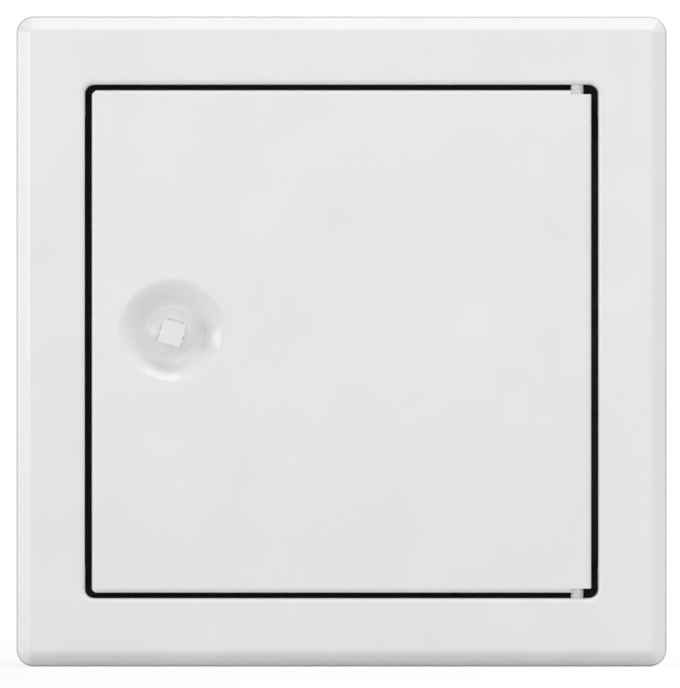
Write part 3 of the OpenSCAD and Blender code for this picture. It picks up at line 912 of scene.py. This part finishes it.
class PANEL_OT_wall_anchors(PieceOperator):
    """Finishes the four bent straps"""

    bl_idname = "access_panel.wall_anchors"
    bl_label = "Wall anchors"
    nodes = (
        "wall_anchor_upper_left", "wall_anchor_lower_left",
        "wall_anchor_upper_right", "wall_anchor_lower_right",
    )
    rounding = "hardware_rounding"


class PANEL_OT_hinge_pins(PieceOperator):
    """Finishes the two pins that the door turns on"""

    bl_idname = "access_panel.hinge_pins"
    bl_label = "Hinge pins"
    nodes = ("hinge_pin_upper", "hinge_pin_lower")


class PANEL_OT_door_leaf(PieceOperator):
    """Finishes the folded door with its pressed dish"""

    bl_idname = "access_panel.door_leaf"
    bl_label = "Door leaf"
    nodes = ("door_leaf",)


class PANEL_OT_hinge_brackets(PieceOperator):
    """Finishes the two angles inside the door's corners"""

    bl_idname = "access_panel.hinge_brackets"
    bl_label = "Hinge brackets"
    nodes = ("hinge_bracket_upper", "hinge_bracket_lower")
    rounding = "hardware_rounding"


class PANEL_OT_lock_tongue(PieceOperator):
    """Finishes the tongue and the washers, nuts and ring that hold the lock together"""

    bl_idname = "access_panel.lock_tongue"
    bl_label = "Lock tongue, nuts and washers"
    nodes = ("lock_tongue", "flat_washer", "spring_washer", "lock_nut", "ring_nut")
    rounding = "hardware_rounding"


class PANEL_OT_lock_bush(PieceOperator):
    """Finishes the domed bush and cuts its thread"""

    bl_idname = "access_panel.lock_bush"
    bl_label = "Lock bush"
    nodes = ("lock_bush",)

    def execute(self, context):
        self.finish_nodes(context)
        detail = context.scene.access_panel.detail
        axis = Vector(JOINT["lock_turn"]["pos_m"])
        nut_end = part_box("ring_nut")[1].y
        body_radius = 6.0 * MM
        body_end = 9.4 * MM
        pitch = detail.bush_pitch
        lead = 0.4 * pitch
        sink = 0.06 * pitch
        thread(
            "bush_thread", (axis.x, nut_end + lead, axis.z), body_radius - sink,
            body_end - nut_end - pitch, pitch, "white_coat", "door",
        )
        return {"FINISHED"}


class PANEL_OT_lock_spindle(PieceOperator):
    """Finishes the spindle with its square and cuts the thread on its end"""

    bl_idname = "access_panel.lock_spindle"
    bl_label = "Lock spindle"
    nodes = ("lock_spindle",)
    rounding = "square_rounding"

    def execute(self, context):
        self.finish_nodes(context)
        detail = context.scene.access_panel.detail
        axis = Vector(JOINT["lock_turn"]["pos_m"])
        nut_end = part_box("lock_nut")[1].y
        stud_radius = 2.0 * MM
        stud_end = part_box("lock_spindle")[1].y
        pitch = detail.stud_pitch
        lead = 0.4 * pitch
        sink = 0.12 * pitch
        run_out = 0.9 * pitch
        thread(
            "stud_thread", (axis.x, nut_end + lead, axis.z), stud_radius - sink,
            stud_end - nut_end - run_out, pitch, "zinc_plate", "lock",
        )
        return {"FINISHED"}


class PANEL_OT_anchor_rivets(bpy.types.Operator):
    """Sets the eight rivets that hold the straps on the sleeve"""

    bl_idname = "access_panel.anchor_rivets"
    bl_label = "Anchor rivets"
    bl_options = {"REGISTER", "UNDO"}

    def execute(self, context):
        low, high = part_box("anchor_rivets")
        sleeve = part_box("wall_sleeve")[1].x
        strap_low, strap_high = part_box("wall_anchor_upper_right")
        head_radius = (high.y - low.y) / 2
        strap = 1.25 * MM
        sheet = 1.0 * MM
        face = sleeve + strap
        shank_radius = 1.6 * MM
        tail_height = 0.65 * MM
        depth = (low.y + high.y) / 2
        middle = (strap_low.z + strap_high.z) / 2
        offset = high.z - head_radius - middle
        places = []
        for side in SIDES:
            for row in SIDES:
                for pair in SIDES:
                    places.append(((side * face, depth, row * middle + pair * offset), (side, 0.0, 0.0)))
        shape = blind_rivet(head_radius, high.x - face, shank_radius, strap + sheet, tail_height)
        piece = set_on_places("anchor_rivets_finish", places, shape, 1.0, 1.0, "rivet_steel", "frame")
        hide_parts("anchor_rivets")
        return {"FINISHED"}


class PANEL_OT_spot_welds(bpy.types.Operator):
    """Sets the marks of the spot welds that hold the sleeve to the lip and to the stop rails"""

    bl_idname = "access_panel.spot_welds"
    bl_label = "Spot welds"
    bl_options = {"REGISTER", "UNDO"}

    edge_radii = 1.4
    end_radii = 5.0

    def execute(self, context):
        detail = context.scene.access_panel.detail
        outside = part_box("wall_sleeve")[1].x
        lip_weld = (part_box("wall_sleeve")[0].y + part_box("front_frame")[1].y) / 2
        rail_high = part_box("stop_rail_top")[1]
        rail_weld = rail_high.y - detail.weld_radius * self.edge_radii
        reach = rail_high.x - detail.weld_radius * self.end_radii
        places = []
        for number in range(detail.weld_count):
            along = -reach + 2 * reach * number / (detail.weld_count - 1)
            for side in SIDES:
                for depth in (lip_weld, rail_weld):
                    if abs(along) > detail.tack_radius * 2 or side > 0:
                        places.append(((along, depth, side * outside), (0.0, 0.0, side)))
                    places.append(((side * outside, depth, along), (side, 0.0, 0.0)))
        set_on_places(
            "sleeve_welds", places, weld_mark(), detail.weld_radius, detail.weld_height,
            "white_coat", "frame",
        )
        return {"FINISHED"}


# Studio


def area_lamp(name, place, aim, size, power):
    """A soft lamp that looks at a point."""
    data = bpy.data.lights.new(name, "AREA")
    data.shape = "RECTANGLE"
    data.size, data.size_y = size
    data.energy = power
    lamp = new_object(name, data)
    lamp.location = place
    lamp.rotation_euler = (Vector(aim) - Vector(place)).to_track_quat("-Z", "Y").to_euler()
    return lamp


def seen_rays(nodes, links):
    """One for rays that come from the camera, a gloss or a clear surface, and nought for others."""
    path = nodes.new("ShaderNodeLightPath")
    first = nodes.new("ShaderNodeMath")
    first.operation = "MAXIMUM"
    links.new(path.outputs["Is Camera Ray"], first.inputs[0])
    links.new(path.outputs["Is Glossy Ray"], first.inputs[1])
    second = nodes.new("ShaderNodeMath")
    second.operation = "MAXIMUM"
    links.new(first.outputs["Value"], second.inputs[0])
    links.new(path.outputs["Is Transmission Ray"], second.inputs[1])
    return second.outputs["Value"]


def white_room(strength):
    """A world that looks white and lights the panel evenly."""
    world = bpy.data.worlds.new("white_room")
    bpy.context.scene.world = world
    world.use_nodes = True
    nodes = world.node_tree.nodes
    links = world.node_tree.links
    nodes.clear()
    light = nodes.new("ShaderNodeBackground")
    light.inputs["Color"].default_value = (1.0, 1.0, 1.0, 1.0)
    light.inputs["Strength"].default_value = strength
    look = nodes.new("ShaderNodeBackground")
    look.inputs["Color"].default_value = (1.0, 1.0, 1.0, 1.0)
    look.inputs["Strength"].default_value = 1.0
    mix = nodes.new("ShaderNodeMixShader")
    links.new(seen_rays(nodes, links), mix.inputs["Fac"])
    links.new(light.outputs["Background"], mix.inputs[1])
    links.new(look.outputs["Background"], mix.inputs[2])
    out = nodes.new("ShaderNodeOutputWorld")
    links.new(mix.outputs["Shader"], out.inputs["Surface"])


def pale_floor(studio):
    """The floor's material: white to look at, with the panel's shadow, and duller as a light."""
    material = bpy.data.materials.new("pale_floor")
    material.use_nodes = True
    nodes = material.node_tree.nodes
    links = material.node_tree.links
    nodes.clear()
    dull = nodes.new("ShaderNodeBsdfDiffuse")
    dull.inputs["Color"].default_value = (*studio.floor_colour, 1.0)
    shadowed = nodes.new("ShaderNodeBsdfDiffuse")
    shadowed.inputs["Color"].default_value = (*studio.floor_look, 1.0)
    white = nodes.new("ShaderNodeEmission")
    white.inputs["Strength"].default_value = 1.0
    place = nodes.new("ShaderNodeTexCoord")
    away = nodes.new("ShaderNodeVectorMath")
    away.operation = "LENGTH"
    links.new(place.outputs["Object"], away.inputs[0])
    fade = nodes.new("ShaderNodeMapRange")
    fade.interpolation_type = "SMOOTHSTEP"
    fade.inputs["From Min"].default_value = studio.floor_fade / 4
    fade.inputs["From Max"].default_value = studio.floor_fade
    fade.inputs["To Min"].default_value = studio.floor_shadow
    fade.inputs["To Max"].default_value = 0.0
    links.new(away.outputs["Value"], fade.inputs["Value"])
    look = nodes.new("ShaderNodeMixShader")
    links.new(fade.outputs["Result"], look.inputs["Fac"])
    links.new(white.outputs["Emission"], look.inputs[1])
    links.new(shadowed.outputs["BSDF"], look.inputs[2])
    mix = nodes.new("ShaderNodeMixShader")
    links.new(seen_rays(nodes, links), mix.inputs["Fac"])
    links.new(dull.outputs["BSDF"], mix.inputs[1])
    links.new(look.outputs["Shader"], mix.inputs[2])
    out = nodes.new("ShaderNodeOutputMaterial")
    links.new(mix.outputs["Shader"], out.inputs["Surface"])
    return material


class PANEL_OT_stage(bpy.types.Operator):
    """Sets the floor, the lamps and the camera"""

    bl_idname = "access_panel.stage"
    bl_label = "Stage"
    bl_options = {"REGISTER", "UNDO"}

    floor_half = 4.0
    floor_gap = 0.05 * MM
    sensor = 36.0
    face = (0.0, CAD_BOX[0].y, 0.0)
    rear = (0.0, CAD_BOX[1].y, 0.0)
    lamps = (
        ("top", (0.5, -0.42, 1.8), (0.5, -0.42, 0.0), (1.8, 0.95)),
        ("left", (-1.45, -0.8, 0.17), face, (1.0, 0.5)),
        ("side", (-1.6, -0.1, 0.12), face, (1.2, 0.4)),
        ("front", (-0.2, -2.0, 0.3), face, (1.2, 0.8)),
        ("right", (1.4, -1.2, 0.7), face, (1.6, 1.5)),
        ("back", (0.8, 1.8, 1.0), rear, (1.8, 1.2)),
    )

    def execute(self, context):
        scene = context.scene
        studio = scene.access_panel.studio
        low = CAD_BOX[0]
        scene.view_settings.view_transform = "Standard"
        white_room(studio.sky_light)
        self.make_floor(studio, low.z - self.floor_gap)
        for name, place, aim, size in self.lamps:
            area_lamp(f"{name}_lamp", place, aim, size, getattr(studio, f"{name}_power"))
        self.make_camera(scene, studio, low.y)
        return {"FINISHED"}

    def make_floor(self, studio, height):
        """A plain square floor under the panel."""
        half = self.floor_half
        mesh = bpy.data.meshes.new("floor")
        corners = [(-half, -half, height), (half, -half, height), (half, half, height), (-half, half, height)]
        mesh.from_pydata(corners, [], [(0, 1, 2, 3)])
        mesh.materials.append(pale_floor(studio))
        new_object("floor", mesh)

    def make_camera(self, scene, studio, face):
        """A long lens straight in front of the panel."""
        data = bpy.data.cameras.new("photo_camera")
        data.sensor_fit = "HORIZONTAL"
        data.sensor_width = self.sensor
        data.lens = self.sensor * studio.camera_distance / studio.view_width
        data.clip_end = 100.0
        camera = new_object("photo_camera", data)
        camera.location = (studio.camera_right, face - studio.camera_distance, studio.camera_up)
        camera.rotation_euler = (math.pi / 2, 0.0, 0.0)
        scene.camera = camera


OPERATORS = (
    PANEL_OT_front_frame,
    PANEL_OT_wall_sleeve,
    PANEL_OT_stop_rails,
    PANEL_OT_door_seals,
    PANEL_OT_wall_anchors,
    PANEL_OT_anchor_rivets,
    PANEL_OT_hinge_pins,
    PANEL_OT_door_leaf,
    PANEL_OT_hinge_brackets,
    PANEL_OT_lock_bush,
    PANEL_OT_lock_spindle,
    PANEL_OT_lock_tongue,
    PANEL_OT_spot_welds,
    PANEL_OT_stage,
)


class PANEL_PT_access_panel(bpy.types.Panel):
    """Lists the steps that finish the access panel"""

    bl_idname = "PANEL_PT_access_panel"
    bl_label = "Access panel"
    bl_space_type = "VIEW_3D"
    bl_region_type = "UI"
    bl_category = "Access panel"

    def draw(self, context):
        for operator in OPERATORS:
            self.layout.operator(operator.bl_idname)
        settings = context.scene.access_panel
        for group in (settings.coat, settings.metal, settings.detail, settings.studio):
            for label in group.__annotations__:
                self.layout.prop(group, label)


CLASSES = (
    CoatSettings,
    MetalSettings,
    DetailSettings,
    StudioSettings,
    PanelSettings,
    *OPERATORS,
    PANEL_PT_access_panel,
)


def register():
    """Registers the classes and the scene's settings."""
    for entry in CLASSES:
        bpy.utils.register_class(entry)
    bpy.types.Scene.access_panel = PointerProperty(type=PanelSettings)


def unregister():
    """Takes the classes and the scene's settings out again."""
    del bpy.types.Scene.access_panel
    for entry in reversed(CLASSES):
        bpy.utils.unregister_class(entry)


def main():
    """Makes every piece and the stage."""
    register()
    for operator in OPERATORS:
        group, name = operator.bl_idname.split(".")
        getattr(getattr(bpy.ops, group), name)()


if __name__ == "__main__":
    main()
